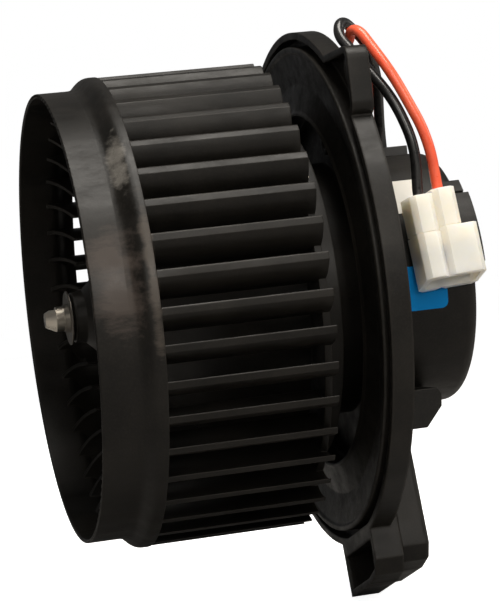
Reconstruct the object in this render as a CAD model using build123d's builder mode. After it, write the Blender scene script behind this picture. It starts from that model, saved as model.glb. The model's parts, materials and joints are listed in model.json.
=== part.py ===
from build123d import *
import math
import os

# Heater blower for a vehicle: a squirrel-cage wheel on a flanged, brushed DC motor.
# All sizes are millimetres. The wheel turns about the Y axis. Its air inlet faces -Y
# and the motor lies towards +Y. A "station" is a place along Y. The origin is on the
# rotation axis, in the plane of the front edge of the flange rim, and +Z is up.

# ---------------------------------------------------------------- driving dimensions

# Wheel
tip_radius = 75.0
wheel_front = -84.6
wheel_rear = -13.7
blade_count = 43
blade_thickness = 1.25
blade_inner_radius = 60.2
blade_phase = 7.6
inlet_radius = 71.6
ring_wall = 1.2
ring_depth = 19.2
blade_start_depth = 9.0
blade_inner_start_depth = 17.5
plate_radius = 68.0
plate_thickness = 2.2
collar_radius = 55.0
collar_rear = -6.3
hub_wall = 2.0
hub_boss_radius = 8.0
hub_boss_rear = -50.6
hub_face = wheel_front + 4.4
vent_count = 8
vent_span = 33.0
vent_phase = 44.5

# Flange
rim_radius = 83.8
rim_depth = 6.7
skirt_wall = 2.2
groove_depth = 4.5
ridge_radius = 79.1
well_radius = 57.0
well_floor = 7.0
plate_wall = 2.2
flange_back = well_floor + plate_wall
tube_inner_radius = 38.8
tube_front = -14.6
ear_half_width = 70.0
ear_height = 71.0
ear_size = (30.0, 21.0)
ear_corner_radius = 4.0
ear_hole_offset = 64.3
ear_hole_radius = 2.75
ear_boss_radius = 5.5

# Cooling duct, in a frame turned about the rotation axis
duct_turn = 15.2
duct_left = -21.75
duct_right = 14.4
duct_low = -98.4
duct_wall = 2.0
duct_mouth_top = -80.6
duct_box_top = -58.0
duct_skin = 1.3
duct_rear = 18.4
duct_rear_low = -95.6

# Motor cover
cover_radius = 41.0
cover_wall = 2.2
cover_front = flange_back + 0.1
cover_rear = 42.9
cover_edge_radius = 4.0
lug_angles = (-53.0, 67.0, 187.0)
lug_bolt_radius = 49.5
lug_length = 4.0
latch_face = 37.0
latch_inner = 8.0
latch_top = -35.0

# Motor
yoke_radius = 36.5
yoke_wall = 2.0
yoke_front = -32.6
yoke_rear = 27.4
shaft_radius = 3.97
bearing_bore_radius = 4.0
bearing_radius = 8.0
shaft_front = wheel_front - 4.0
shaft_rear = 36.8
core_radius = 27.8
core_front = -14.0
core_rear = 10.0
slot_count = 12
commutator_radius = 11.0
commutator_front = 14.5
commutator_rear = 26.0
card_front = 23.5
card_thickness = 2.0
brush_width = 6.8
brush_station = 19.4
brush_tip_gap = 0.05
brush_length = 12.0
brush_tube_top = 29.2

# Wires and connector
wire_radius = 1.7
connector_centre = (47.6, 31.2, 12.9)
connector_lean_out = 6.7
connector_lean_back = 3.5
shell_depth = 13.5
neck_depth = 12.4
shell_left = -10.4
shell_right = 9.2
neck_right = 4.6
cell_split = -2.8

os.makedirs("parts", exist_ok=True)


# ---------------------------------------------------------------- shared helpers


def across(station):
    """Plane square to the rotation axis: its x is +X, its y is +Z, its normal -Y."""
    return Plane.XZ.offset(-station)


def duct_plane(station):
    """Plane square to the rotation axis, turned so that its -y runs down the duct."""
    turn_angle = math.radians(duct_turn)
    return Plane(
        origin=(0, station, 0),
        x_dir=(math.cos(turn_angle), 0, math.sin(turn_angle)),
        z_dir=(0, -1, 0),
    )


def polar(radius, angle):
    """Point of a plane from across(), at an angle counted from +X towards +Z."""
    return (radius * math.cos(math.radians(angle)), radius * math.sin(math.radians(angle)))


def turn(outline, mode=Mode.ADD):
    """Turn a closed outline of (radius, station) points about the rotation axis."""
    with BuildSketch(Plane.XY) as section:
        with BuildLine():
            Polyline(*outline, close=True)
        make_face()
    revolve(section.sketch, axis=Axis.Y, mode=mode)


def tube(inner, outer, front, rear, mode=Mode.ADD):
    """Ring of rectangular section round the rotation axis."""
    turn([(inner, front), (outer, front), (outer, rear), (inner, rear)], mode)


def disc(radius, front, rear, mode=Mode.ADD):
    """Plain disc on the rotation axis."""
    with BuildSketch(across(rear)) as section:
        Circle(radius)
    extrude(section.sketch, amount=rear - front, mode=mode)


def sector(inner, outer, centre_angle, span, front, rear, mode=Mode.ADD):
    """Piece of a ring round the rotation axis, span degrees wide."""
    with BuildSketch(across(rear)) as section:
        with BuildLine():
            outside = CenterArc((0, 0), outer, centre_angle - span / 2, span)
            inside = CenterArc((0, 0), inner, centre_angle - span / 2, span)
            Line(outside @ 0, inside @ 0)
            Line(outside @ 1, inside @ 1)
        make_face()
    extrude(section.sketch, amount=rear - front, mode=mode)


def finish(part, name):
    """Label a finished piece and write it."""
    part.label = name
    export_step(part, f"parts/{name}.step")


# ---------------------------------------------------------------- blower wheel

# One blade follows a circular arc whose tip leads in the turning direction.
with BuildLine() as camber:
    ThreePointArc((75.9, 1.2), (69.3, -5.0), (blade_inner_radius, -4.9))

ring_front_flare = wheel_front + 10.5
ring_rear = wheel_front + ring_depth
ring_rear_radius = tip_radius + 0.3

with BuildPart() as blade_cage:
    with BuildSketch(across(wheel_rear)):
        with PolarLocations(0, blade_count, start_angle=blade_phase):
            SlotArc(camber.edge(), blade_thickness)
    extrude(amount=wheel_rear - wheel_front)
    turn(
        [
            (blade_inner_radius - 1, wheel_front + blade_inner_start_depth),
            (inlet_radius - 0.7, wheel_front + blade_start_depth),
            (inlet_radius - 0.7, ring_front_flare + 1),
            (tip_radius - 0.3, ring_rear - 1.8),
            (tip_radius, ring_rear - 1.8),
            (tip_radius, wheel_rear),
            (blade_inner_radius - 1, wheel_rear),
        ],
        Mode.INTERSECT,
    )

with BuildPart() as blower_wheel:
    # Inlet ring: a thin rounded lip, a short cylinder and an S-shaped flare.
    with BuildSketch(Plane.XY):
        with BuildLine():
            lip = ThreePointArc(
                (inlet_radius - ring_wall, wheel_front + 0.5),
                (inlet_radius - ring_wall / 2, wheel_front),
                (inlet_radius, wheel_front + 0.5),
            )
            outer_wall = Line(lip @ 1, (inlet_radius, ring_front_flare))
            outer_flare = Spline(
                outer_wall @ 1,
                (ring_rear_radius, ring_rear - 1.6),
                tangents=((0, 1), (0, 1)),
            )
            back_edge = Polyline(
                outer_flare @ 1,
                (ring_rear_radius, ring_rear),
                (ring_rear_radius - ring_wall, ring_rear),
                (ring_rear_radius - ring_wall, ring_rear - 1.0),
            )
            inner_flare = Spline(
                back_edge @ 1,
                (inlet_radius - ring_wall, ring_front_flare + 0.6),
                tangents=((0, -1), (0, -1)),
            )
            Line(inner_flare @ 1, lip @ 0)
        make_face()
    revolve(axis=Axis.Y)
    # Hub dome: it opens from a narrow nose to the plate that carries the blades.
    with BuildSketch(Plane.XY):
        with BuildLine():
            nose = Polyline((0, hub_face), (7.4, hub_face), (7.9, hub_face + 0.5), (8.4, hub_face + 4.0))
            dome_outside = Spline(
                nose @ 1,
                (10.8, hub_face + 6.6),
                (18.0, hub_face + 13.8),
                (29.0, hub_face + 24.0),
                (39.0, hub_face + 36.0),
                (47.0, hub_face + 49.0),
                (54.0, wheel_rear - plate_thickness),
            )
            plate_edge = Polyline(
                dome_outside @ 1,
                (plate_radius, wheel_rear - plate_thickness),
                (plate_radius, wheel_rear),
                (collar_radius, wheel_rear),
                (collar_radius, collar_rear),
                (collar_radius - hub_wall, collar_rear),
                (collar_radius - hub_wall, wheel_rear - 1.0),
            )
            dome_inside = Spline(
                plate_edge @ 1,
                (45.2, hub_face + 50.0),
                (37.3, hub_face + 37.2),
                (27.5, hub_face + 25.4),
                (16.6, hub_face + 15.2),
                (7.0, hub_face + 6.0),
            )
            Polyline(dome_inside @ 1, (0, hub_face + 6.0), nose @ 0)
        make_face()
    revolve(axis=Axis.Y)
    # Cooling windows in the dome; the spokes between them carry the nose.
    for vent in range(vent_count):
        vent_angle = vent_phase + vent * 360 / vent_count
        sector(11.5, 27.0, vent_angle, vent_span, hub_face, hub_boss_rear, Mode.SUBTRACT)
    disc(hub_boss_radius, hub_face + 0.5, hub_boss_rear)
    disc(shaft_radius, hub_face - 1, hub_boss_rear + 1, Mode.SUBTRACT)
    add(blade_cage.part)

finish(blower_wheel.part, "blower_wheel")

# ---------------------------------------------------------------- retaining clip

clip_radius = 8.6
clip_rear = hub_face - 0.1
with BuildPart() as retaining_clip:
    # A push-on washer: a short turned-up collar on the shaft and a thin dished disc.
    turn(
        [
            (shaft_radius, clip_rear - 2.3),
            (shaft_radius + 0.35, clip_rear - 2.3),
            (shaft_radius + 0.8, clip_rear - 0.8),
            (clip_radius - 0.2, clip_rear - 1.0),
            (clip_radius, clip_rear - 0.8),
            (clip_radius, clip_rear - 0.5),
            (clip_radius - 1.2, clip_rear - 0.1),
            (shaft_radius, clip_rear),
        ]
    )
finish(retaining_clip.part, "retaining_clip")

# ---------------------------------------------------------------- balance clip

balance_angle = blade_phase + 3 * 360 / blade_count - 1.6
with BuildPart() as balance_clip:
    # A folded steel strip pushed on the rear edge of the plate between two blades.
    sector(62.0, 67.6, balance_angle, 3.8, wheel_rear, wheel_rear + 0.6)
    sector(62.0, 67.6, balance_angle, 3.8, -16.6, -15.9)
    sector(plate_radius, 68.7, balance_angle, 3.8, -16.6, wheel_rear + 0.6)
    sector(67.0, 68.1, balance_angle, 3.8, -16.6, -15.9)
    sector(67.0, 68.1, balance_angle, 3.8, wheel_rear, wheel_rear + 0.6)
finish(balance_clip.part, "balance_clip")

# ---------------------------------------------------------------- mounting flange


def flange_outline():
    """Rim circle with three corner ears; one quarter, where the duct is, has none."""
    Circle(rim_radius)
    ear_x = ear_half_width - ear_size[0] / 2
    ear_z = ear_height - ear_size[1] / 2
    with Locations((ear_x, ear_z), (-ear_x, ear_z), (-ear_x, -ear_z)):
        RectangleRounded(*ear_size, ear_corner_radius)


def duct_section(inset, top, low):
    """Duct outline, open towards the motor, with one wide corner cut away."""
    with BuildLine() as outline:
        Polyline(
            (duct_left + inset, top),
            (duct_left + inset, low + inset),
            (3.0, low + inset),
            (11.0, low + 1.6 + inset),
            (duct_right - inset, low + 6.0 + inset / 2),
            (duct_right - inset, top),
            close=True,
        )
    make_face(outline.edges())


ear_centres = (
    (ear_hole_offset, ear_hole_offset),
    (-ear_hole_offset, ear_hole_offset),
    (-ear_hole_offset, -ear_hole_offset),
)

with BuildPart() as mounting_flange:
    # Skirt that follows the rim and the ears, with a floor behind the groove.
    with BuildSketch(across(rim_depth)):
        flange_outline()
    extrude(amount=rim_depth)
    with BuildSketch(across(groove_depth)):
        flange_outline()
        offset(amount=-skirt_wall)
    extrude(amount=groove_depth + 1, mode=Mode.SUBTRACT)
    disc(ridge_radius - plate_wall, -5, rim_depth + 1, Mode.SUBTRACT)
    # Ridge, shallow dish, bearing well and the tube that holds the motor.
    turn(
        [
            (ridge_radius, groove_depth + 0.5),
            (ridge_radius, -0.8),
            (ridge_radius - 0.3, -1.1),
            (ridge_radius - 1.6, -1.1),
            (ridge_radius - 2.1, -0.5),
            (67.0, 1.2),
            (well_radius + 1.5, -0.2),
            (well_radius + 0.6, -0.9),
            (well_radius, -0.6),
            (well_radius, well_floor),
            (cover_radius, well_floor),
            (cover_radius, tube_front),
            (tube_inner_radius, tube_front),
            (tube_inner_radius, flange_back),
            (well_radius + plate_wall, flange_back),
            (well_radius + plate_wall, 2.6),
            (67.0, 3.4),
            (ridge_radius - plate_wall, 2.4),
            (ridge_radius - plate_wall, groove_depth + 0.5),
        ]
    )
    # Screw bosses in the ears.
    with BuildSketch(across(groove_depth + 0.5)):
        with Locations(*ear_centres):
            Circle(ear_boss_radius)
    extrude(amount=3.0)
    with BuildSketch(across(rim_depth + 1)):
        with Locations(*ear_centres):
            Circle(ear_hole_radius)
    extrude(amount=rim_depth + 3, mode=Mode.SUBTRACT)
    # Bosses and pilot holes in the well floor for the cover screws.
    with BuildSketch(across(well_floor + 0.5)):
        with PolarLocations(lug_bolt_radius, 3, start_angle=lug_angles[0]):
            Circle(3.4)
    extrude(amount=3.5)
    with BuildSketch(across(flange_back + 1)):
        with PolarLocations(lug_bolt_radius, 3, start_angle=lug_angles[0]):
            Circle(1.5)
    extrude(amount=8, mode=Mode.SUBTRACT)
    # Duct mouth below the rim, and duct walls carried back to the cover plane.
    with BuildSketch(duct_plane(flange_back)):
        duct_section(0, duct_mouth_top, duct_low)
    extrude(amount=flange_back)
    with BuildSketch(duct_plane(flange_back)):
        duct_section(0, duct_box_top, duct_low)
    extrude(amount=flange_back - groove_depth)
    with BuildSketch(duct_plane(flange_back + 1)):
        duct_section(duct_wall, duct_box_top, duct_low)
    extrude(amount=flange_back + 1 - groove_depth - duct_skin, mode=Mode.SUBTRACT)
    with BuildSketch(duct_plane(flange_back + 1)):
        duct_section(duct_wall, duct_mouth_top - 5.0, duct_low)
    extrude(amount=flange_back + 5, mode=Mode.SUBTRACT)
    # Two short guide bars across the mouth.
    with BuildSketch(duct_plane(flange_back)):
        with Locations((-10.0, -90.5), (3.0, -90.5)):
            Rectangle(1.6, 14.0)
    extrude(amount=3.0)
finish(mounting_flange.part, "mounting_flange")

# ---------------------------------------------------------------- cooling duct

with BuildPart() as cooling_duct:
    # A scoop clipped behind the flange; it turns the air inwards to the motor.
    with BuildSketch(duct_plane(duct_rear)):
        duct_section(0, -30.0, duct_rear_low)
    extrude(amount=duct_rear - cover_front)
    fillet(
        cooling_duct.faces().sort_by(Axis.Y)[-1].edges().filter_by(GeomType.LINE),
        1.5,
    )
    with BuildSketch(duct_plane(duct_rear - duct_wall)):
        duct_section(duct_wall, -29.0, duct_rear_low)
    extrude(amount=duct_rear, mode=Mode.SUBTRACT)
    disc(cover_radius + 0.1, 0, 30, Mode.SUBTRACT)
finish(cooling_duct.part, "cooling_duct")

# ---------------------------------------------------------------- motor cover

lead_slot_centre = (-0.4, 28.6)
lead_slot_size = (9.8, 9.0)

with BuildPart() as motor_cover:
    # Latch block with slanted corners, cut clear of the duct beside it.
    with BuildSketch(Plane.YZ.offset(latch_face)):
        with BuildLine():
            Polyline(
                (cover_front, latch_top),
                (26.8, latch_top),
                (27.8, latch_top - 2.0),
                (27.4, latch_top - 5.8),
                (22.0, latch_top - 12.0),
                (cover_front, latch_top - 12.0),
                close=True,
            )
        make_face()
    extrude(amount=latch_inner - latch_face)
    with BuildSketch(duct_plane(duct_rear + 0.1)):
        duct_section(-0.1, -29.9, duct_rear_low)
    extrude(amount=duct_rear + 0.1 - cover_front, mode=Mode.SUBTRACT)
    disc(cover_radius, cover_front, cover_rear)
    fillet(motor_cover.faces().sort_by(Axis.Y)[-1].edges(), cover_edge_radius)
    # Two plain lugs; the third screw goes through the latch block.
    for lug_angle in lug_angles[1:]:
        with BuildSketch(
            Plane(
                origin=(0, cover_front + lug_length, 0),
                x_dir=(polar(1, lug_angle)[0], 0, polar(1, lug_angle)[1]),
                z_dir=(0, -1, 0),
            )
        ):
            with Locations((cover_radius + 5.5, 0)):
                Rectangle(19, 11.6)
        extrude(amount=lug_length)
    disc(cover_radius - cover_wall, cover_front, cover_rear - cover_wall, Mode.SUBTRACT)
    with BuildSketch(across(cover_rear)):
        with PolarLocations(lug_bolt_radius, 3, start_angle=lug_angles[0]):
            Circle(1.6)
    extrude(amount=cover_rear, mode=Mode.SUBTRACT)
    with BuildSketch(across(cover_rear)):
        with PolarLocations(lug_bolt_radius, 3, start_angle=lug_angles[0]):
            Circle(3.8)
    extrude(amount=cover_rear - cover_front - lug_length, mode=Mode.SUBTRACT)
    # Air window behind the duct and slot for the motor leads.
    with BuildSketch(duct_plane(duct_rear - duct_wall)):
        with Locations((-3.7, -38.0)):
            Rectangle(26, 16)
    extrude(amount=duct_rear - duct_wall - cover_front - 1.0, mode=Mode.SUBTRACT)
    with BuildSketch(Plane.XY.offset(22)):
        with Locations(lead_slot_centre):
            Rectangle(*lead_slot_size)
    extrude(amount=20, mode=Mode.SUBTRACT)
    # Rear face: a bearing dome, ribs, a raised arc and a stepped bracket on the edge.
    disc(12.5, cover_rear, cover_rear + 1.6)
    with BuildSketch(across(cover_rear + 1.0)):
        with PolarLocations(22.5, 6, start_angle=8):
            Rectangle(21, 1.8)
    extrude(amount=1.2)
    sector(35.2, 37.0, 20.0, 34.0, cover_rear - 0.2, cover_rear + 1.8)
    sector(37.4, cover_radius, 21.0, 34.0, cover_rear - 4.2, cover_rear + 3.0)
    sector(37.4, cover_radius, 42.5, 7.0, cover_rear - 4.2, cover_rear + 1.6)
finish(motor_cover.part, "motor_cover")

with BuildPart() as cover_screws:
    # Pan-head thread-forming screws that go through the lugs into the well floor.
    with BuildSketch(across(cover_front + lug_length + 2.2)):
        with PolarLocations(lug_bolt_radius, 3, start_angle=lug_angles[0]):
            Circle(3.2)
    extrude(amount=2.2)
    with BuildSketch(across(cover_front + lug_length)):
        with PolarLocations(lug_bolt_radius, 3, start_angle=lug_angles[0]):
            Circle(1.5)
    extrude(amount=cover_front + lug_length - well_floor + 2.0)
    with BuildSketch(across(cover_front + lug_length + 2.2)):
        with PolarLocations(lug_bolt_radius, 3, start_angle=lug_angles[0]):
            Rectangle(3.4, 0.8)
            Rectangle(0.8, 3.4)
    extrude(amount=1.2, mode=Mode.SUBTRACT)
finish(cover_screws.part, "cover_screws")

# ---------------------------------------------------------------- vibration mounts

with BuildPart() as isolator_rings:
    for ring_front in (tube_front + 1.6, -2.0):
        tube(yoke_radius, tube_inner_radius, ring_front, ring_front + 8)
finish(isolator_rings.part, "isolator_rings")

with BuildPart() as rear_damper:
    tube(10.0, 14.0, 34.0, cover_rear - cover_wall)
    tube(9.0, 10.0, 34.0, 36.0)
finish(rear_damper.part, "rear_damper")

# ---------------------------------------------------------------- motor case

with BuildPart() as motor_yoke:
    # Deep-drawn steel cup with a nose that holds the front bearing.
    turn(
        [
            (9.0, yoke_front - 4.9),
            (10.0, yoke_front - 3.9),
            (10.0, yoke_front),
            (yoke_radius - 2.5, yoke_front),
            (yoke_radius - 0.7, yoke_front + 0.8),
            (yoke_radius, yoke_front + 2.5),
            (yoke_radius, yoke_rear),
            (yoke_radius - yoke_wall, yoke_rear),
            (yoke_radius - yoke_wall, yoke_front + yoke_wall),
            (bearing_radius, yoke_front + yoke_wall),
            (bearing_radius, yoke_front - 3.9),
            (5.0, yoke_front - 3.9),
            (5.0, yoke_front - 4.9),
        ]
    )
    with BuildSketch(across(yoke_front + 3)):
        with PolarLocations(22.0, 6, start_angle=30):
            SlotOverall(14, 7)
    extrude(amount=6, mode=Mode.SUBTRACT)
    # Notch for the leads.
    with BuildSketch(Plane.XY.offset(20)):
        with Locations((lead_slot_centre[0], yoke_rear - 4.7)):
            Rectangle(lead_slot_size[0], 9.4)
    extrude(amount=20, mode=Mode.SUBTRACT)
finish(motor_yoke.part, "motor_yoke")

with BuildPart() as end_bell:
    turn(
        [
            (bearing_radius, yoke_rear + 0.8),
            (13.0, yoke_rear + 0.8),
            (13.0, yoke_rear),
            (yoke_radius, yoke_rear),
            (yoke_radius, yoke_rear + 2.0),
            (11.0, yoke_rear + 2.0),
            (9.0, yoke_rear + 4.0),
            (9.0, yoke_rear + 9.9),
            (5.0, yoke_rear + 9.9),
            (5.0, yoke_rear + 8.9),
            (bearing_radius, yoke_rear + 8.9),
        ]
    )
    with BuildSketch(across(yoke_rear + 3)):
        with PolarLocations(23.0, 6, start_angle=0):
            SlotOverall(15, 6)
    extrude(amount=4, mode=Mode.SUBTRACT)
finish(end_bell.part, "end_bell")

with BuildPart() as field_magnets:
    for magnet_angle in (0.0, 180.0):
        sector(core_radius + 0.8, yoke_radius - yoke_wall, magnet_angle, 128.0, -20.0, 14.0)
finish(field_magnets.part, "field_magnets")

# ---------------------------------------------------------------- bearings


def sleeve_bearing(front, rear):
    """Sintered sleeve with chamfered ends, free to run on the shaft."""
    turn(
        [
            (bearing_bore_radius, front),
            (bearing_radius - 1.2, front),
            (bearing_radius, front + 1.6),
            (bearing_radius, rear - 1.6),
            (bearing_radius - 1.2, rear),
            (bearing_bore_radius, rear),
        ]
    )


def bearing_clip(front):
    """Thin ring with eight slots that presses the bearing into its seat."""
    tube(6.8, 12.5, front, front + 0.5)
    with BuildSketch(across(front + 1)) as slots:
        with PolarLocations(8.8, 8):
            Rectangle(3.0, 1.0)
    extrude(slots.sketch, amount=2, mode=Mode.SUBTRACT)


with BuildPart() as front_bearing:
    sleeve_bearing(yoke_front - 3.8, yoke_front + yoke_wall)
finish(front_bearing.part, "front_bearing")

with BuildPart() as rear_bearing:
    sleeve_bearing(yoke_rear + 1.3, yoke_rear + 8.8)
finish(rear_bearing.part, "rear_bearing")

with BuildPart() as front_bearing_retainer:
    bearing_clip(yoke_front + yoke_wall)
finish(front_bearing_retainer.part, "front_bearing_retainer")

with BuildPart() as rear_bearing_retainer:
    bearing_clip(yoke_rear + 0.2)
finish(rear_bearing_retainer.part, "rear_bearing_retainer")

# ---------------------------------------------------------------- rotor

with BuildPart() as armature_shaft:
    turn(
        [
            (0, shaft_front),
            (2.3, shaft_front),
            (shaft_radius, shaft_front + 3.3),
            (shaft_radius, shaft_rear - 0.6),
            (shaft_radius - 0.6, shaft_rear),
            (0, shaft_rear),
        ]
    )
    # Flat on the tip that the clip and the wheel index on.
    with BuildSketch(across(shaft_front + 3.6)):
        with Locations((0, shaft_radius + 2.1)):
            Rectangle(12, 6)
    extrude(amount=5, mode=Mode.SUBTRACT)
finish(armature_shaft.part, "armature_shaft")

with BuildPart() as armature_core:
    tube(shaft_radius, core_radius, core_front, core_rear)
    with BuildSketch(across(core_rear + 1)):
        with PolarLocations(19.6, slot_count):
            Rectangle(11.6, 4.0)
        with PolarLocations(26.6, slot_count):
            Rectangle(4.0, 2.0)
    extrude(amount=core_rear - core_front + 2, mode=Mode.SUBTRACT)
finish(armature_core.part, "armature_core")

with BuildPart() as armature_windings:
    # Coil sides in the slots, joined by the end turns in front and behind.
    with BuildSketch(across(core_rear + 1)):
        with PolarLocations(19.6, slot_count):
            Rectangle(11.4, 3.8)
    extrude(amount=core_rear - core_front + 2)
    turn([(9, -21), (11, -22), (23, -22), (25, -20), (25, core_front - 0.05), (9, core_front - 0.05)])
    turn([(9, core_rear + 0.05), (25, core_rear + 0.05), (24, 13.2), (22, 13.8), (9, 13.8)])
finish(armature_windings.part, "armature_windings")

with BuildPart() as commutator:
    tube(shaft_radius, commutator_radius, commutator_front, commutator_rear)
    with BuildSketch(across(commutator_rear + 1)):
        with PolarLocations(commutator_radius, slot_count, start_angle=15):
            Rectangle(2.4, 0.6)
    extrude(amount=commutator_rear - commutator_front - 1.5, mode=Mode.SUBTRACT)
finish(commutator.part, "commutator")

with BuildPart() as thrust_washers:
    tube(shaft_radius, 6.4, yoke_front + yoke_wall + 0.4, yoke_front + yoke_wall + 1.2)
    tube(shaft_radius, 6.4, yoke_rear - 0.2, yoke_rear + 0.9)
finish(thrust_washers.part, "thrust_washers")

# ---------------------------------------------------------------- brush gear

brush_half = brush_width / 2
guide_inner = brush_half + 0.1
guide_outer = guide_inner + 0.5

with BuildPart() as brush_card:
    # Insulating board behind the brushes; it fits the open end of the case.
    disc(yoke_radius - yoke_wall - 0.05, card_front, card_front + card_thickness)
    disc(13.0, card_front - 1, card_front + 4, Mode.SUBTRACT)
    with BuildSketch(across(card_front + 3)):
        with Locations((-21, -18), (21, -18), (-21, 18)):
            Circle(4.0)
    extrude(amount=4, mode=Mode.SUBTRACT)
finish(brush_card.part, "brush_card")

with BuildPart() as brush_tubes:
    # Folded brass guides, one above and one below the commutator, closed outside.
    for side in (1, -1):
        with BuildSketch(Plane.XY.offset(side * 13.0)):
            with Locations((0, brush_station)):
                Rectangle(2 * guide_outer, 2 * guide_outer)
        extrude(amount=side * (brush_tube_top - 13.0))
        with BuildSketch(Plane.XY.offset(side * 12.0)):
            with Locations((0, brush_station)):
                Rectangle(2 * guide_inner, 2 * guide_inner)
        extrude(amount=side * (brush_tube_top - 12.6), mode=Mode.SUBTRACT)
finish(brush_tubes.part, "brush_tubes")

brush_tip = commutator_radius + brush_tip_gap
brush_top = brush_tip + brush_length


def carbon_brush(side):
    """Carbon block with a tip hollowed to the commutator's curve."""
    with BuildSketch(Plane.XY.offset(side * (brush_tip - 0.8))) as block:
        with Locations((0, brush_station)):
            Rectangle(brush_width, brush_width)
    extrude(block.sketch, amount=side * (brush_length + 0.8))
    disc(brush_tip, commutator_front - 5, commutator_rear + 5, Mode.SUBTRACT)


def brush_spring(side):
    """Helical spring between the brush and the closed end of its guide."""
    spring_start = brush_top + 0.45
    spring_height = brush_tube_top - 0.6 - 0.45 - spring_start
    origin = (0, brush_station, side * spring_start)
    coil = Helix(1.35, spring_height, 2.3, center=origin, direction=(0, 0, side))
    with BuildSketch(Plane(origin=coil @ 0, z_dir=coil % 0)) as wire:
        Circle(0.35)
    sweep(wire.sketch, path=coil, is_frenet=True)


with BuildPart() as brush_upper:
    carbon_brush(1)
finish(brush_upper.part, "brush_upper")

with BuildPart() as brush_lower:
    carbon_brush(-1)
finish(brush_lower.part, "brush_lower")

with BuildPart() as brush_spring_upper:
    brush_spring(1)
finish(brush_spring_upper.part, "brush_spring_upper")

with BuildPart() as brush_spring_lower:
    brush_spring(-1)
finish(brush_spring_lower.part, "brush_spring_lower")

with BuildPart() as choke_coils:
    # Two suppression chokes: a ferrite rod inside a wound sleeve.
    for side in (1, -1):
        with BuildSketch(Plane.XY.offset(-8)):
            with Locations((side * 21.0, card_front - 3.0)):
                Circle(1.8)
        extrude(amount=16)
        with BuildSketch(Plane.XY.offset(-6)):
            with Locations((side * 21.0, card_front - 3.0)):
                Circle(2.9)
        extrude(amount=12)
finish(choke_coils.part, "choke_coils")

# ---------------------------------------------------------------- leads

black_exit = (2.2, 28.4)
red_exit = (-3.0, 28.4)
grommet_top = 43.6
lead_end = 38.5

with BuildPart() as wire_grommet:
    # Moulded block that fills the slot in the cover and stands above it.
    with BuildSketch(Plane.XY.offset(grommet_top)):
        with Locations((-0.4, 29.4)):
            RectangleRounded(11.6, 14.0, 1.5)
    extrude(amount=-14)
    disc(cover_radius + 0.05, 10, 40, Mode.SUBTRACT)
    with BuildSketch(Plane.XY.offset(lead_end + 0.1)):
        with Locations(lead_slot_centre):
            Rectangle(lead_slot_size[0] - 0.2, lead_slot_size[1] - 0.2)
    extrude(amount=3.4)
    with BuildSketch(Plane.XY.offset(20)):
        with Locations(black_exit, red_exit):
            Circle(wire_radius + 0.05)
    extrude(amount=30, mode=Mode.SUBTRACT)
finish(wire_grommet.part, "wire_grommet")

tongue_low = 30.0
strip_width = 2.4
strip_thickness = 0.8
strip_rear = 29.9
tongue_front = card_front - 0.05 - strip_thickness
with BuildPart() as lead_terminals:
    # Bent brass strips: under the grommet, forward over the case, down to the brush board.
    for exit_point in (black_exit, red_exit):
        with BuildSketch(Plane.XY.offset(lead_end - 0.1)):
            with Locations((exit_point[0], (tongue_front + strip_rear) / 2)):
                Rectangle(strip_width, strip_rear - tongue_front)
        extrude(amount=-strip_thickness)
        with BuildSketch(Plane.XY.offset(lead_end - 0.1)):
            with Locations((exit_point[0], tongue_front + strip_thickness / 2)):
                Rectangle(strip_width, strip_thickness)
        extrude(amount=tongue_low - lead_end + 0.1)
finish(lead_terminals.part, "lead_terminals")


def lead(start, bends, end):
    """Round insulated wire: straight stretches joined by bends, each (corner, radius)."""
    places = [Vector(start)] + [Vector(corner) for corner, radius in bends] + [Vector(end)]
    here = places[0]
    with BuildLine() as route:
        for before, (corner, radius), after in zip(places, bends, places[2:]):
            back = (before - Vector(corner)).normalized()
            ahead = (after - Vector(corner)).normalized()
            half_angle = math.radians(back.get_angle(ahead) / 2)
            reach = radius / math.tan(half_angle)
            inward = (back + ahead).normalized()
            middle = Vector(corner) + inward * (radius / math.sin(half_angle) - radius)
            Line(here, Vector(corner) + back * reach)
            ThreePointArc(Vector(corner) + back * reach, middle, Vector(corner) + ahead * reach)
            here = Vector(corner) + ahead * reach
        Line(here, places[-1])
    with BuildSketch(Plane(origin=places[0], z_dir=places[1] - places[0])) as wire:
        Circle(wire_radius)
    sweep(wire.sketch, path=route.wire())


connector_down = Vector(
    math.sin(math.radians(connector_lean_out)),
    math.sin(math.radians(connector_lean_back)),
    -1,
).normalized()
connector_side = (Vector(0, 1, 0) - connector_down * connector_down.Y).normalized()


def connector_plane(height):
    """Plane square to the connector's long axis; its x runs towards the motor's rear."""
    return Plane(
        origin=Vector(*connector_centre) - connector_down * height,
        x_dir=connector_side,
        z_dir=-connector_down,
    )


cell_places = ((cell_split - 2.9, 0), ((cell_split + neck_right) / 2, 0))
wire_stop = 8.0
cell_step = 1.1
neck_top = 12.1
shell_low = -14.0
cell_entries = [
    connector_plane(wire_stop).from_local_coords(Vector(place[0], place[1], 0))
    for place in cell_places
]

with BuildPart() as wire_black:
    lead(
        (*black_exit, lead_end + 0.1),
        [
            ((2.2, 28.4, 49.5), 15.0),
            ((17.0, 25.0, 65.0), 60.0),
            ((25.0, 20.6, 76.0), 24.0),
            ((31.0, 10.8, 84.0), 4.4),
            ((35.2, 8.3, 78.0), 6.5),
            ((38.5, 12.6, 70.5), 90.0),
            ((45.8, 20.6, 55.5), 40.0),
            ((47.8, 25.2, 40.0), 35.0),
            (tuple(cell_entries[0] - connector_down * 6.0), 22.0),
        ],
        tuple(cell_entries[0]),
    )
finish(wire_black.part, "wire_black")

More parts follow.
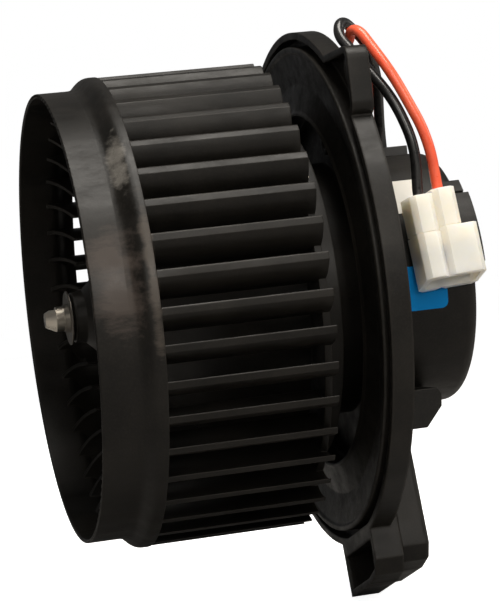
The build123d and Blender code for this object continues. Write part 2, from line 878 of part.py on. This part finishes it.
with BuildPart() as wire_red:
    lead(
        (*red_exit, lead_end + 0.1),
        [
            ((-3.0, 28.4, 48.5), 12.0),
            ((3.0, 23.0, 58.5), 30.0),
            ((20.0, 13.2, 72.0), 28.0),
            ((30.0, 13.0, 76.6), 50.0),
            ((38.8, 12.7, 81.0), 5.6),
            ((47.0, 20.6, 63.5), 40.0),
            ((48.8, 29.3, 42.5), 45.0),
            (tuple(cell_entries[1] - connector_down * 6.0), 22.0),
        ],
        tuple(cell_entries[1]),
    )
finish(wire_red.part, "wire_red")

# ---------------------------------------------------------------- connector


def cell(left, right, depth, corner, low, high):
    """Block with four cut corners, square to the connector's long axis."""
    middle = (left + right) / 2
    with BuildSketch(connector_plane(low)) as section:
        with Locations((middle, 0)):
            Rectangle(right - left, depth)
        chamfer(section.vertices(), corner)
    extrude(section.sketch, amount=high - low)


cavity_size = (shell_right - shell_left - 3.4, shell_depth - 4.8)
end_slope = 0.19
groove = 0.4
end_plane = Plane(
    origin=connector_plane(shell_low - end_slope * shell_depth / 2).origin,
    x_dir=connector_side,
    z_dir=-connector_down + connector_plane(0).y_dir * end_slope,
)

with BuildPart() as connector_housing:
    # Two cells side by side, narrow in the neck and wide in the open shell below.
    shell_start = shell_low - end_slope * shell_depth
    cell(shell_left + groove, cell_split, neck_depth - 2 * groove, 1.7, 0, groove)
    cell(shell_left, cell_split, neck_depth, 1.7, groove, neck_top)
    cell(cell_split, neck_right - groove, neck_depth - 2 * groove, 1.7, 0, cell_step + groove)
    cell(cell_split, neck_right, neck_depth, 1.7, cell_step + groove, neck_top + cell_step)
    cell(shell_left, cell_split, shell_depth, 1.7, shell_start, 0)
    cell(cell_split, shell_right, shell_depth, 1.7, shell_start, cell_step)
    with BuildSketch(connector_plane(shell_start - 1)):
        with Locations(((shell_left + shell_right) / 2, 0)):
            RectangleRounded(*cavity_size, 1.2)
    extrude(amount=13.0, mode=Mode.SUBTRACT)
    with BuildSketch(connector_plane(neck_top + 2)):
        with Locations(*cell_places):
            Circle(wire_radius + 0.15)
    extrude(amount=-(neck_top + 2 - 1.0), mode=Mode.SUBTRACT)
    with BuildSketch(connector_plane(neck_top)):
        with Locations(*cell_places):
            Rectangle(2.6, 1.0)
    extrude(amount=-(neck_top - shell_low - 5), mode=Mode.SUBTRACT)
    # The open end is cut at a slant, so the wall on the outer side is shorter.
    split(bisect_by=end_plane, keep=Keep.TOP)
finish(connector_housing.part, "connector_housing")

with BuildPart() as connector_terminals:
    with BuildSketch(connector_plane(wire_stop - 0.2)):
        with Locations(*cell_places):
            Rectangle(2.5, 0.8)
    extrude(amount=-19.0)
finish(connector_terminals.part, "connector_terminals")

with BuildPart() as connector_lock:
    # Frame in the open end that keeps both terminals in place.
    with BuildSketch(connector_plane(shell_low + 4.5)):
        with Locations(((shell_left + shell_right) / 2, 0)):
            RectangleRounded(cavity_size[0] - 0.2, cavity_size[1] - 0.2, 1.1)
        with Locations(*cell_places):
            Rectangle(4.6, 3.6, mode=Mode.SUBTRACT)
    extrude(amount=3.0)
finish(connector_lock.part, "connector_lock")

# ---------------------------------------------------------------- labels

label_gap = 0.02
label_thickness = 0.15
label_inner = cover_radius + label_gap
label_outer = label_inner + label_thickness

with BuildPart() as type_label:
    sector(label_inner, label_outer, -4.75, 19.5, 18.4, 32.4)
    fillet(type_label.edges().filter_by(lambda e: e.length < 0.2).sort_by(Axis.Y)[-2:], 2.0)
finish(type_label.part, "type_label")

with BuildPart() as rating_label:
    sector(label_inner, label_outer, 39.65, 19.3, 15.0, 29.9)
finish(rating_label.part, "rating_label")
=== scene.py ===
import json
import math

import bmesh
import bpy
from mathutils import Matrix, Vector


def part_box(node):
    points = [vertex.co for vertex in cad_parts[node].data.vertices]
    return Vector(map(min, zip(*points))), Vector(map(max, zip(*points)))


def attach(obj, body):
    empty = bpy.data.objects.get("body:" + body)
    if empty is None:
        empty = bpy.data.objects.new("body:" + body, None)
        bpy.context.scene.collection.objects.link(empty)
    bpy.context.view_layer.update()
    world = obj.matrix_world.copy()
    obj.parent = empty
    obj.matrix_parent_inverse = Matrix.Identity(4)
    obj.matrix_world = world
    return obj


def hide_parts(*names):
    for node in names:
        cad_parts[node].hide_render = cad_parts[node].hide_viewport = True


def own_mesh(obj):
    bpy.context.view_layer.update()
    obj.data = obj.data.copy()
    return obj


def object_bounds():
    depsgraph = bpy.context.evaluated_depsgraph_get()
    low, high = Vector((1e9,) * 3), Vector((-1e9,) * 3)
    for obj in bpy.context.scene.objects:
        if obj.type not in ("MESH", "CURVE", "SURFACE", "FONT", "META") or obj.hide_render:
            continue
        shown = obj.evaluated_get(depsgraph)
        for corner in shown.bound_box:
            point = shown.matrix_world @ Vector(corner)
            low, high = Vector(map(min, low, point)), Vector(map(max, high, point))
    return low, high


# Looks of a heater blower. Metres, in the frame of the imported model: the wheel turns about
# the Y axis, its inlet faces -Y, the motor is towards +Y, and +Z is up.

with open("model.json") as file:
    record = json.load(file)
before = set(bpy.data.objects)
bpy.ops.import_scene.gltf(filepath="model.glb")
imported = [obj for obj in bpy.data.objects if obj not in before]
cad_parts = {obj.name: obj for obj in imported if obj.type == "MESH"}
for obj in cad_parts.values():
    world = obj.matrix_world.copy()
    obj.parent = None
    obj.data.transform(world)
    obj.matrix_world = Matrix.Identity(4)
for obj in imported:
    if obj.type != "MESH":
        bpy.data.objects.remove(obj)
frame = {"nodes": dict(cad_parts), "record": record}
nodes = frame["nodes"]
cad_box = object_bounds()
MM = 0.001
UP = Vector((0, 0, 1))

# ---------------------------------------------------------------- node helpers

FINE_SCALE = 900
FINE_DEPTH = 0.02 * MM
BEVEL_SAMPLES = 6
EDGE_FLAT = 0.995
EDGE_SHARP = 0.90
PATCH_CORE = 0.45


class Shader:
    """Short calls for building a node material."""

    def __init__(self, name):
        self.material = bpy.data.materials.new(name)
        self.material.use_nodes = True
        self.tree = self.material.node_tree
        self.bsdf = self.tree.nodes["Principled BSDF"]
        self.place = self.tree.nodes.new("ShaderNodeTexCoord").outputs["Object"]

    def link(self, source, target):
        self.tree.links.new(source, target)

    def node(self, kind, **values):
        made = self.tree.nodes.new(kind)
        for key, value in values.items():
            setattr(made, key, value)
        return made

    def grain(self, strength):
        """Fine grain, and the normal that it gives a smooth surface."""
        fine = self.noise(FINE_SCALE, 3)
        return fine, self.bump(fine, FINE_DEPTH, strength)

    def noise(self, scale, detail=4.0, rough=0.55, stretch=(1, 1, 1)):
        mapping = self.node("ShaderNodeMapping")
        mapping.inputs["Scale"].default_value = stretch
        self.link(self.place, mapping.inputs["Vector"])
        made = self.node("ShaderNodeTexNoise")
        made.inputs["Scale"].default_value = scale
        made.inputs["Detail"].default_value = detail
        made.inputs["Roughness"].default_value = rough
        self.link(mapping.outputs["Vector"], made.inputs["Vector"])
        return made.outputs["Fac"]

    def remap(self, value, low, high, to_low=0.0, to_high=1.0):
        made = self.node("ShaderNodeMapRange", clamp=True)
        made.inputs["From Min"].default_value = low
        made.inputs["From Max"].default_value = high
        made.inputs["To Min"].default_value = to_low
        made.inputs["To Max"].default_value = to_high
        self.link(value, made.inputs["Value"])
        return made.outputs["Result"]

    def math(self, operation, first, second):
        made = self.node("ShaderNodeMath", operation=operation)
        for socket, value in zip(made.inputs, (first, second)):
            if isinstance(value, (int, float)):
                socket.default_value = value
            else:
                self.link(value, socket)
        return made.outputs["Value"]

    def mix(self, factor, first, second):
        made = self.node("ShaderNodeMix", data_type="RGBA")
        factor_socket, first_socket, second_socket = made.inputs[0], made.inputs[6], made.inputs[7]
        pairs = ((factor_socket, factor), (first_socket, first), (second_socket, second))
        for socket, value in pairs:
            if isinstance(value, (int, float)):
                socket.default_value = value
            elif isinstance(value, tuple):
                socket.default_value = (*value, 1.0)
            else:
                self.link(value, socket)
        return made.outputs[2]

    def bump(self, height, distance, strength=1.0, normal=None):
        made = self.node("ShaderNodeBump")
        made.inputs["Strength"].default_value = strength
        made.inputs["Distance"].default_value = distance
        self.link(height, made.inputs["Height"])
        if normal is not None:
            self.link(normal, made.inputs["Normal"])
        return made.outputs["Normal"]

    def edges(self, radius):
        """Normal of a rounded edge, and a mask: 1 on edges, 0 on flat stretches."""
        rounded = self.node("ShaderNodeBevel", samples=BEVEL_SAMPLES)
        rounded.inputs["Radius"].default_value = radius
        plain = self.node("ShaderNodeNewGeometry")
        dot = self.node("ShaderNodeVectorMath", operation="DOT_PRODUCT")
        self.link(rounded.outputs["Normal"], dot.inputs[0])
        self.link(plain.outputs["Normal"], dot.inputs[1])
        mask = self.remap(dot.outputs["Value"], EDGE_FLAT, EDGE_SHARP)
        return rounded.outputs["Normal"], mask

    def spot(self, centre, size, noise, reach=0.5):
        """Mask of a soft-edged patch: 1 at centre, 0 beyond size, its edge broken by noise."""
        shift = self.node("ShaderNodeVectorMath", operation="SUBTRACT")
        self.link(self.place, shift.inputs[0])
        shift.inputs[1].default_value = centre
        scaled = self.node("ShaderNodeVectorMath", operation="DIVIDE")
        self.link(shift.outputs["Vector"], scaled.inputs[0])
        scaled.inputs[1].default_value = size
        length = self.node("ShaderNodeVectorMath", operation="LENGTH")
        self.link(scaled.outputs["Vector"], length.inputs[0])
        ragged = self.remap(noise, 0.3, 0.7, -reach, reach)
        far = self.math("ADD", length.outputs["Value"], ragged)
        return self.remap(far, 1.0, PATCH_CORE)

    def set(self, **values):
        """Set or link inputs of the Principled node; a _ in a name stands for a space."""
        for key, value in values.items():
            socket = self.bsdf.inputs[key.replace("_", " ")]
            if isinstance(value, tuple):
                socket.default_value = (*value, 1.0)
            elif isinstance(value, (int, float)):
                socket.default_value = value
            else:
                self.link(value, socket)
        return self.material


PLASTIC_SHINE = 0.22
PLASTIC_GRAIN_DEPTH = 0.03 * MM
PLASTIC_WAVE_DEPTH = 0.2 * MM
METAL_SCRATCH_DEPTH = 0.03 * MM
SKIN_GRAIN_DEPTH = 0.03 * MM
GLOW_DEPTH = 0.012
GLOW_REACH = (1.0, 0.85, 0.62)


def plastic(name, dark, light, rough, round_off=0.4 * MM, painted_highlights=()):
    """Moulded plastic: fine speckle, slow mottling, rounded edges painted lighter (part wear, part
    painted highlight), painted highlight patches.
    """
    s = Shader(name)
    slow = s.noise(38, 5)
    fine = s.noise(1500, 3)
    marks = s.noise(150, 6, 0.7, (1, 0.3, 1))
    rounded, edge = s.edges(round_off)
    mottle = s.remap(slow, 0.38, 0.66, to_high=0.5)
    speckle = s.remap(fine, 0.45, 0.75, to_high=0.35)
    # Edges painted lighter: partly wear, partly painted highlight along the rounded edges.
    edge_wear_and_highlight = s.math("MULTIPLY", edge, s.remap(marks, 0.35, 0.6, to_low=0.3, to_high=1.4))
    tone = s.math("ADD", s.math("ADD", mottle, speckle), edge_wear_and_highlight)
    colour = s.mix(tone, dark, light)
    handled = s.remap(marks, 0.35, 0.65, to_low=rough + 0.1, to_high=rough - 0.1)
    roughness = s.math("ADD", handled, s.remap(fine, 0.3, 0.7, to_low=-0.04, to_high=0.04))
    # Painted highlights: each patch lightens the colour where a lamp reflects, and lowers the
    # roughness there.
    for centre, size, highlight_colour, gloss in painted_highlights:
        highlight_patch = s.spot(centre, size, marks)
        colour = s.mix(highlight_patch, colour, highlight_colour)
        roughness = s.math("SUBTRACT", roughness, s.math("MULTIPLY", highlight_patch, gloss))
    waves = s.bump(slow, PLASTIC_WAVE_DEPTH, 0.5, rounded)
    normal = s.bump(fine, PLASTIC_GRAIN_DEPTH, 0.6, waves)
    return s.set(
        Base_Color=colour, Roughness=roughness, Normal=normal, Specular_IOR_Level=PLASTIC_SHINE
    )


def metal(name, dark, light, rough, stretch=(1, 1, 1)):
    """Plated or drawn metal with directional streaks."""
    s = Shader(name)
    streak = s.noise(260, 6, 0.65, stretch)
    stain = s.noise(70, 4)
    colour = s.mix(s.remap(stain, 0.35, 0.65), dark, light)
    roughness = s.remap(streak, 0.3, 0.7, to_low=rough - 0.08, to_high=rough + 0.12)
    normal = s.bump(streak, METAL_SCRATCH_DEPTH, 0.5)
    return s.set(Base_Color=colour, Roughness=roughness, Metallic=1.0, Normal=normal)


def soft(name, dark, light, rough, gloss=0.0, glow_through=0.0):
    """Rubber, wire insulation, card, carbon and translucent nylon."""
    s = Shader(name)
    slow = s.noise(90, 4)
    fine = s.noise(FINE_SCALE, 3)
    colour = s.mix(s.remap(slow, 0.35, 0.65), dark, light)
    roughness = s.remap(fine, 0.3, 0.7, to_low=rough - 0.05, to_high=rough + 0.08)
    normal = s.bump(fine, SKIN_GRAIN_DEPTH, 0.5)
    s.set(Subsurface_Weight=glow_through, Subsurface_Scale=GLOW_DEPTH)
    s.bsdf.inputs["Subsurface Radius"].default_value = GLOW_REACH
    return s.set(Base_Color=colour, Roughness=roughness, Coat_Weight=gloss, Normal=normal)


# ---------------------------------------------------------------- materials

DARK = (0.0042, 0.0038, 0.0031)
LIFT = (0.020, 0.0175, 0.0145)
RING_INSET = 2.5 * MM


def on_ring(depth, angle):
    """Point on the wheel's inlet ring, depth behind its lip, angle counted from +X towards +Z."""
    wheel_low, wheel_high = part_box("blower_wheel")
    radius = wheel_high.z - RING_INSET
    turn = math.radians(angle)
    return (radius * math.cos(turn), wheel_low.y + depth, radius * math.sin(turn))


# Painted highlights on the inlet ring, lighter patches where the lamps reflect: centre, size,
# highlight colour and gain in gloss.
RING_PAINTED_HIGHLIGHTS = (
    (on_ring(14.5 * MM, 36), (0.009, 0.0030, 0.013), (0.120, 0.112, 0.100), 0.16),
    (on_ring(7.5 * MM, 6), (0.03, 0.0095, 0.016), (0.050, 0.040, 0.034), 0.03),
    (on_ring(18.0 * MM, 8), (0.02, 0.0022, 0.026), (0.055, 0.046, 0.038), 0.03),
)
STICKER_GRAIN = 0.4


def sticker(name, dark, light, smoothest, roughest, shine):
    """Plain sticker without any print."""
    s = Shader(name)
    slow = s.noise(60, 4)
    fine, normal = s.grain(STICKER_GRAIN)
    colour = s.mix(s.remap(slow, 0.35, 0.65), dark, light)
    roughness = s.remap(fine, 0.3, 0.7, to_low=smoothest, to_high=roughest)
    return s.set(
        Base_Color=colour, Roughness=roughness, Normal=normal, Specular_IOR_Level=shine
    )


ALONG_AXIS = (1, 0.1, 1)
# Each row: darkest colour, lightest colour, roughness, then what the function names.
materials = {
    "black_plastic": plastic("black_plastic", DARK, LIFT, 0.40, 1.1 * MM),
    "wheel_plastic": plastic("wheel_plastic", DARK, LIFT, 0.42, 0.4 * MM, RING_PAINTED_HIGHLIGHTS),
    "cover_plastic": plastic("cover_plastic", DARK, LIFT, 0.46, 0.5 * MM),
    "zinc_steel": metal("zinc_steel", (0.52, 0.47, 0.40), (0.72, 0.68, 0.60), 0.30, ALONG_AXIS),
    # Darker zinc for the retaining clip: colour darkened as painted shade, roughness higher than
    # zinc_steel.
    "dull_zinc_painted_shade": metal("dull_zinc_painted_shade", (0.11, 0.10, 0.085), (0.19, 0.175, 0.155), 0.42),
    "steel": metal("steel", (0.42, 0.42, 0.43), (0.60, 0.60, 0.60), 0.32, ALONG_AXIS),
    "spring_steel": metal("spring_steel", (0.055, 0.050, 0.045), (0.10, 0.095, 0.085), 0.42),
    "ferrite": soft("ferrite", (0.035, 0.035, 0.038), (0.07, 0.07, 0.075), 0.55),
    "bronze": metal("bronze", (0.45, 0.28, 0.13), (0.62, 0.42, 0.22), 0.45),
    "copper": metal("copper", (0.60, 0.28, 0.14), (0.78, 0.42, 0.25), 0.32, (1, 0.2, 1)),
    "brass": metal("brass", (0.66, 0.47, 0.19), (0.82, 0.64, 0.32), 0.3),
    "carbon": soft("carbon", (0.03, 0.03, 0.032), (0.07, 0.068, 0.066), 0.5),
    "card": soft("card", (0.20, 0.08, 0.04), (0.34, 0.16, 0.08), 0.5),
    "rubber": soft("rubber", (0.012, 0.012, 0.012), (0.030, 0.029, 0.028), 0.6),
    "black_wire": soft("black_wire", (0.008, 0.008, 0.008), (0.018, 0.017, 0.017), 0.30, 0.3),
    "red_wire": soft("red_wire", (0.90, 0.105, 0.045), (0.96, 0.15, 0.070), 0.30, 0.25),
    "nylon": soft("nylon", (0.84, 0.76, 0.64), (0.88, 0.81, 0.70), 0.42, 0.0, 0.8),
    "blue_label": sticker("blue_label", (0.0005, 0.185, 0.50), (0.001, 0.210, 0.55), 0.40, 0.52, 0.1),
    "white_label": sticker("white_label", (0.62, 0.60, 0.54), (0.70, 0.68, 0.62), 0.36, 0.48, 0.5),
}

slots = {entry["node"]: entry["material_slot"] for entry in frame["record"]["subparts"]}
slots["retaining_clip"] = "dull_zinc_painted_shade"  # darker than the shaft it sits on as painted shade, and rougher
for node_name, node in nodes.items():
    node.data.materials.clear()
    node.data.materials.append(materials[slots[node_name]])

# ---------------------------------------------------------------- brush springs

SPRING_WIRE = 0.4 * MM
SPRING_TURNS = 4
TURN_STEPS = 32
WIRE_SIDES = 10


def wire_ring(mesh, centre, outward):
    """One round section of the spring wire."""
    ring = []
    for side in range(WIRE_SIDES):
        angle = math.tau * side / WIRE_SIDES
        offset = outward * math.cos(angle) + UP * math.sin(angle)
        ring.append(mesh.verts.new(centre + offset * SPRING_WIRE))
    return ring


def brush_coil(side):
    """Coil between a brush and the closed end of its guide, sized to the box of the CAD spring."""
    node = f"brush_spring_{side}"
    low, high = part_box(node)
    middle = (low + high) / 2
    radius = (high.x - low.x) / 2 - SPRING_WIRE
    climb = high.z - low.z - 2 * SPRING_WIRE
    mesh = bmesh.new()
    rings = []
    steps = SPRING_TURNS * TURN_STEPS
    for step in range(steps + 1):
        turn = math.tau * step / TURN_STEPS
        outward = Vector((math.cos(turn), math.sin(turn), 0))
        level = low.z + SPRING_WIRE + climb * step / steps
        rings.append(wire_ring(mesh, Vector((middle.x, middle.y, level)) + outward * radius, outward))
    for first, second in zip(rings, rings[1:]):
        for i in range(WIRE_SIDES):
            mesh.faces.new((first[i], first[i - 1], second[i - 1], second[i]))
    mesh.faces.new(rings[0])
    mesh.faces.new(reversed(rings[-1]))
    bmesh.ops.recalc_face_normals(mesh, faces=mesh.faces)
    data = bpy.data.meshes.new(f"coil_{side}")
    mesh.to_mesh(data)
    mesh.free()
    data.shade_smooth()
    data.materials.append(materials["spring_steel"])
    coil = bpy.data.objects.new(f"coil_{side}", data)
    bpy.context.scene.collection.objects.link(coil)
    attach(coil, "base")
    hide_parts(node)
    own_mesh(coil)


brush_coil("upper")
brush_coil("lower")

# ---------------------------------------------------------------- stage

WARM = (1.0, 0.955, 0.885)
FLOOR_HALF = 30.0
FLOOR_GAP = 0.5 * MM
FLOOR_GLOW = 1.1
FLOOR_BOUNCE = (0.34, 0.33, 0.32)
ROOM = 0.12


def make_floor():
    """Plain white floor that runs far behind the object and stays bright to the camera."""
    mesh = bpy.data.meshes.new("floor")
    level = cad_box[0].z - FLOOR_GAP
    corners = [
        (-FLOOR_HALF, -FLOOR_HALF, level),
        (FLOOR_HALF, -FLOOR_HALF, level),
        (FLOOR_HALF, FLOOR_HALF, level),
        (-FLOOR_HALF, FLOOR_HALF, level),
    ]
    mesh.from_pydata(corners, [], [(0, 1, 2, 3)])
    floor = bpy.data.objects.new("floor", mesh)
    s = Shader("floor_paint")
    tone = s.mix(s.remap(s.noise(3), 0.3, 0.7), (0.80, 0.80, 0.80), (0.84, 0.84, 0.84))
    seen = s.node("ShaderNodeLightPath").outputs["Is Camera Ray"]
    bounced = s.mix(seen, FLOOR_BOUNCE, tone)
    glow = s.math("MULTIPLY", seen, FLOOR_GLOW)
    paint = s.set(Base_Color=bounced, Roughness=0.9, Emission_Color=tone, Emission_Strength=glow)
    mesh.materials.append(paint)
    bpy.context.scene.collection.objects.link(floor)


def area_light(name, place, target, size, power):
    """Warm rectangular lamp of the given size and watts, aimed at target."""
    data = bpy.data.lights.new(name, "AREA")
    data.shape = "RECTANGLE"
    data.size, data.size_y = size
    data.energy = power
    data.color = WARM
    lamp = bpy.data.objects.new(name, data)
    lamp.location = place
    lamp.rotation_mode = "QUATERNION"
    lamp.rotation_quaternion = (Vector(target) - Vector(place)).to_track_quat("-Z", "Y")
    bpy.context.scene.collection.objects.link(lamp)


CAMERA_AZIMUTH = math.radians(76.67)
CAMERA_ROLL = math.radians(6.64)
CAMERA_DISTANCE = 0.7206
CAMERA_AIM = Vector((0.0, -0.0213, -0.0011))
CAMERA_LENS = 132.9
CAMERA_SENSOR = 36.0


def make_camera():
    """Level camera beside the motor, turned towards the inlet, rolled a little."""
    data = bpy.data.cameras.new("camera")
    data.lens = CAMERA_LENS
    data.sensor_width = CAMERA_SENSOR
    back = Vector((math.sin(CAMERA_AZIMUTH), -math.cos(CAMERA_AZIMUTH), 0.0))
    camera = bpy.data.objects.new("camera", data)
    camera.location = CAMERA_AIM + back * CAMERA_DISTANCE
    upright = (-back).to_track_quat("-Z", "Y").to_matrix().to_4x4()
    turn = upright @ Matrix.Rotation(-CAMERA_ROLL, 4, "Z")
    camera.rotation_mode = "QUATERNION"
    camera.rotation_quaternion = turn.to_quaternion()
    bpy.context.scene.collection.objects.link(camera)
    bpy.context.scene.camera = camera


def make_world():
    """White behind the object, dim all round it, so that dark plastic stays dark."""
    world = bpy.data.worlds.new("studio")
    world.use_nodes = True
    tree = world.node_tree
    background = tree.nodes["Background"]
    background.inputs["Color"].default_value = (1.0, 1.0, 1.0, 1.0)
    seen = tree.nodes.new("ShaderNodeLightPath").outputs["Is Camera Ray"]
    level = tree.nodes.new("ShaderNodeMapRange")
    level.inputs["To Min"].default_value = ROOM
    level.inputs["To Max"].default_value = 1.0
    tree.links.new(seen, level.inputs["Value"])
    tree.links.new(level.outputs["Result"], background.inputs["Strength"])
    bpy.context.scene.world = world
    bpy.context.scene.view_settings.view_transform = "Standard"


CENTRE = (0, 0, 0)
LAMPS = (
    ("top", (0.40, 0.12, 1.05), CENTRE, (0.6, 0.9), 16.5),
    ("front", (1.25, 0.1, 0.45), CENTRE, (0.4, 0.6), 5),
    ("side", (0.3, 1.2, 0.5), CENTRE, (0.8, 0.6), 4),
    ("inlet", (1.2, -0.55, 0.35), (0.05, 0.03, 0), (0.5, 0.5), 2.2),
)

make_floor()
make_world()
for lamp_values in LAMPS:
    area_light(*lamp_values)
make_camera()
